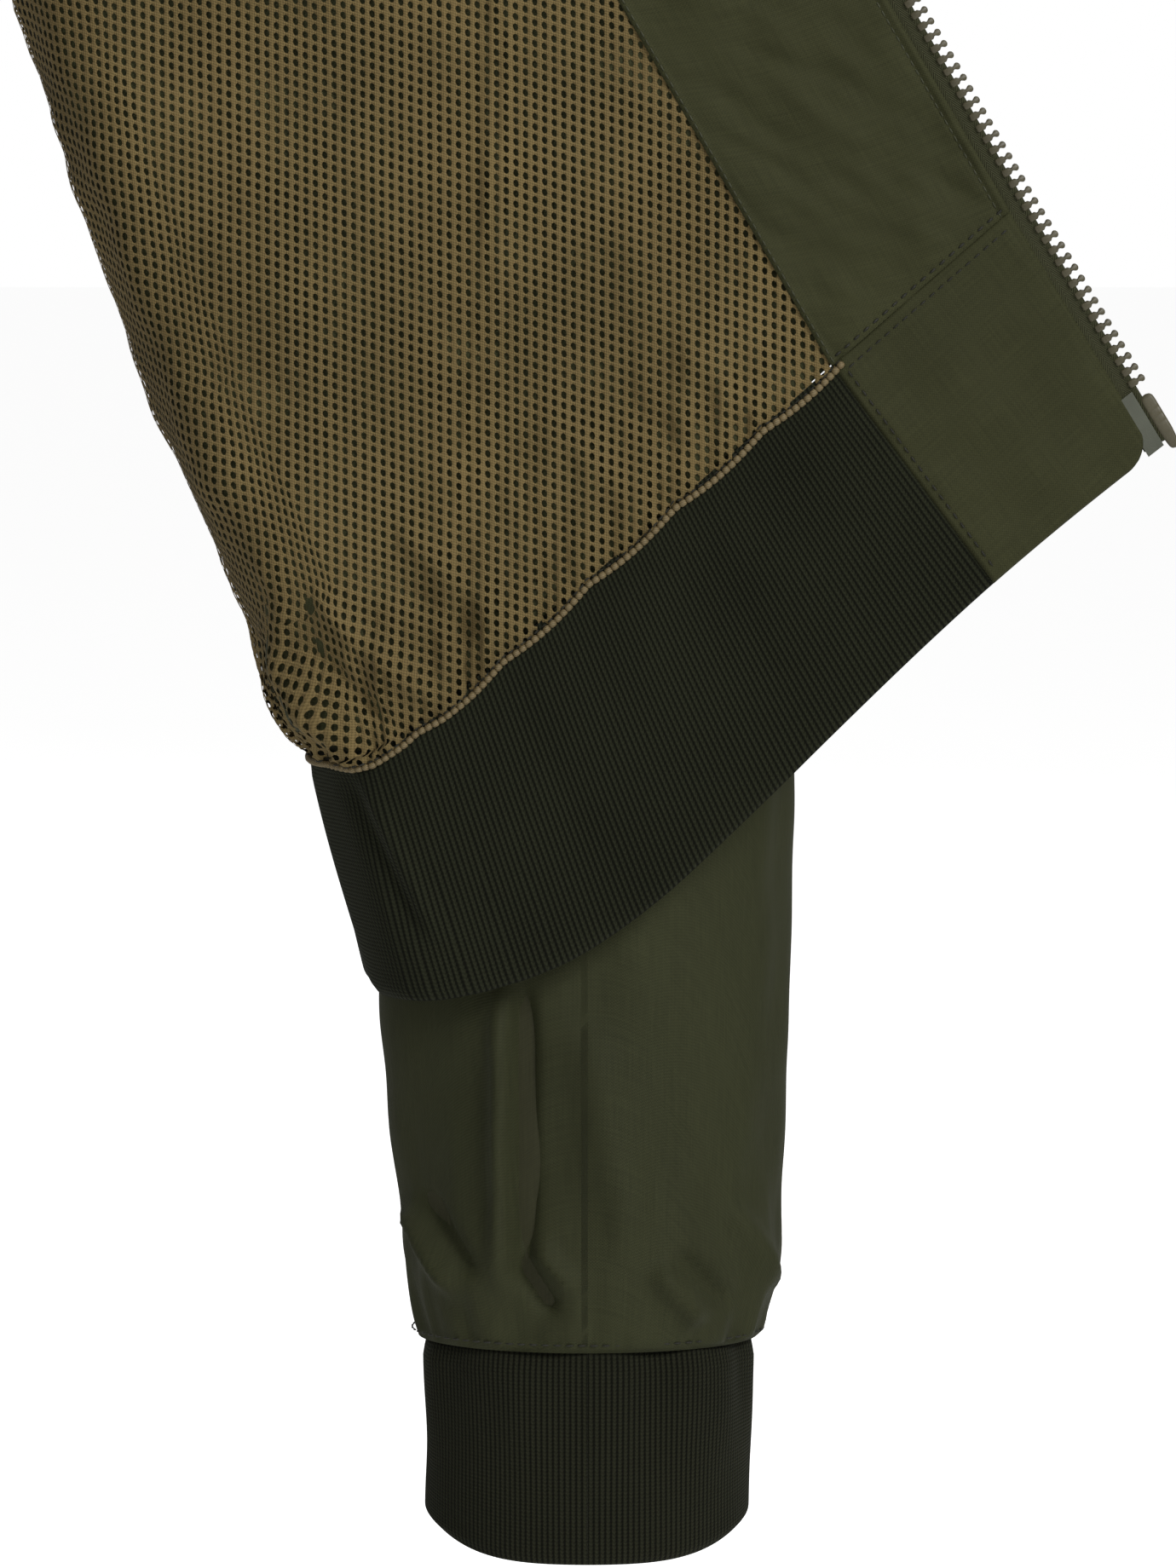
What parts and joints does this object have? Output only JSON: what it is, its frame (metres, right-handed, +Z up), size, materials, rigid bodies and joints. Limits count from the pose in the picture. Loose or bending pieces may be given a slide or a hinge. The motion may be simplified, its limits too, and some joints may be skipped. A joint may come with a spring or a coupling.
{
  "type": "zip-front blouson jacket",
  "caption": "Hanging zip-front blouson with rib collar, cuffs and hem, mesh lining, and its left front turned back over the sleeve.",
  "frame": {"origin": "under the top of the hanger loop at the nape, where the hook carries the jacket", "axes": "+Z up, the wearer faces -Y, the wearer's left is +X"},
  "size_m": [0.6842, 0.3441, 0.8282],
  "materials": {
    "shell_cloth": "olive plain-weave cloth, matt with a faint sheen",
    "mesh_lining": "khaki knitted mesh with staggered oval holes",
    "sleeve_lining": "plain dark olive lining taffeta",
    "rib_knit": "very dark green one-by-one rib knit",
    "zip_tape": "woven polyester zip tape",
    "zip_teeth": "moulded plastic, satin",
    "zip_metal": "painted zinc casting, satin",
    "tape_film": "clear stiffening film over the tape"
  },
  "bodies": {
    "jacket": {"back_shell": "shell_cloth", "right_front_shell": "shell_cloth", "right_front_facing": "shell_cloth", "right_hem_placket": "shell_cloth", "left_yoke_shell": "shell_cloth", "left_yoke_facing": "shell_cloth", "left_side_shell": "shell_cloth", "left_fold_shell": "shell_cloth", "hanger_loop": "shell_cloth", "back_lining": "mesh_lining", "right_front_lining": "mesh_lining", "left_yoke_lining": "mesh_lining", "left_side_lining": "mesh_lining", "left_fold_lining": "mesh_lining", "back_hem_rib": "rib_knit", "right_front_rib": "rib_knit", "left_side_rib": "rib_knit", "left_fold_rib": "rib_knit", "collar_rib": "rib_knit", "left_zip_tape_upper": "zip_tape", "right_zip_tape": "zip_tape", "left_top_stop": "zip_teeth", "left_zip_teeth_upper": "zip_teeth", "right_top_stop": "zip_teeth", "right_zip_teeth": "zip_teeth", "right_retainer_box": "zip_teeth", "right_tape_film": "tape_film"},
    "left_front": {"left_front_shell": "shell_cloth", "left_front_lining": "mesh_lining", "left_front_facing": "shell_cloth", "left_front_rib": "rib_knit", "left_hem_placket": "shell_cloth", "left_zip_tape": "zip_tape", "left_zip_teeth": "zip_teeth", "left_insertion_pin": "zip_teeth", "left_tape_film": "tape_film"},
    "left_sleeve": {"left_sleeve_shell": "shell_cloth", "left_sleeve_lining": "sleeve_lining", "left_cuff": "rib_knit"},
    "right_sleeve": {"right_sleeve_shell": "shell_cloth", "right_sleeve_lining": "sleeve_lining", "right_cuff": "rib_knit"},
    "slider": {"zip_slider": "zip_metal"},
    "pull_tab": {"slider_pull_tab": "zip_metal"}
  },
  "joints": [
    {"name": "left_front_swing", "type": "hinge", "parent": "jacket", "child": "left_front", "pos_m": [0.345, -0.07333, -0.61472], "axis": [0, 0.338, -0.9411], "range_deg": [0, 45], "deforming": ["left_fold_shell", "left_fold_lining", "left_fold_rib"]},
    {"name": "left_sleeve_swing", "type": "hinge", "parent": "jacket", "child": "left_sleeve", "pos_m": [0.2258, -0.03433, -0.09472], "axis": [1, 0, 0], "range_deg": [0, 20]},
    {"name": "right_sleeve_swing", "type": "hinge", "parent": "jacket", "child": "right_sleeve", "pos_m": [-0.2258, -0.03433, -0.09472], "axis": [1, 0, 0], "range_deg": [-20, 20]},
    {"name": "slider_slide", "type": "slide", "parent": "jacket", "child": "slider", "axis": [0, -0.0363, 0.9993], "range_m": [0, 0.495]},
    {"name": "pull_tab_flip", "type": "hinge", "parent": "slider", "child": "pull_tab", "pos_m": [-0.00095, -0.09176, -0.59958], "axis": [-1, 0, 0], "range_deg": [0, 170]}
  ]
}
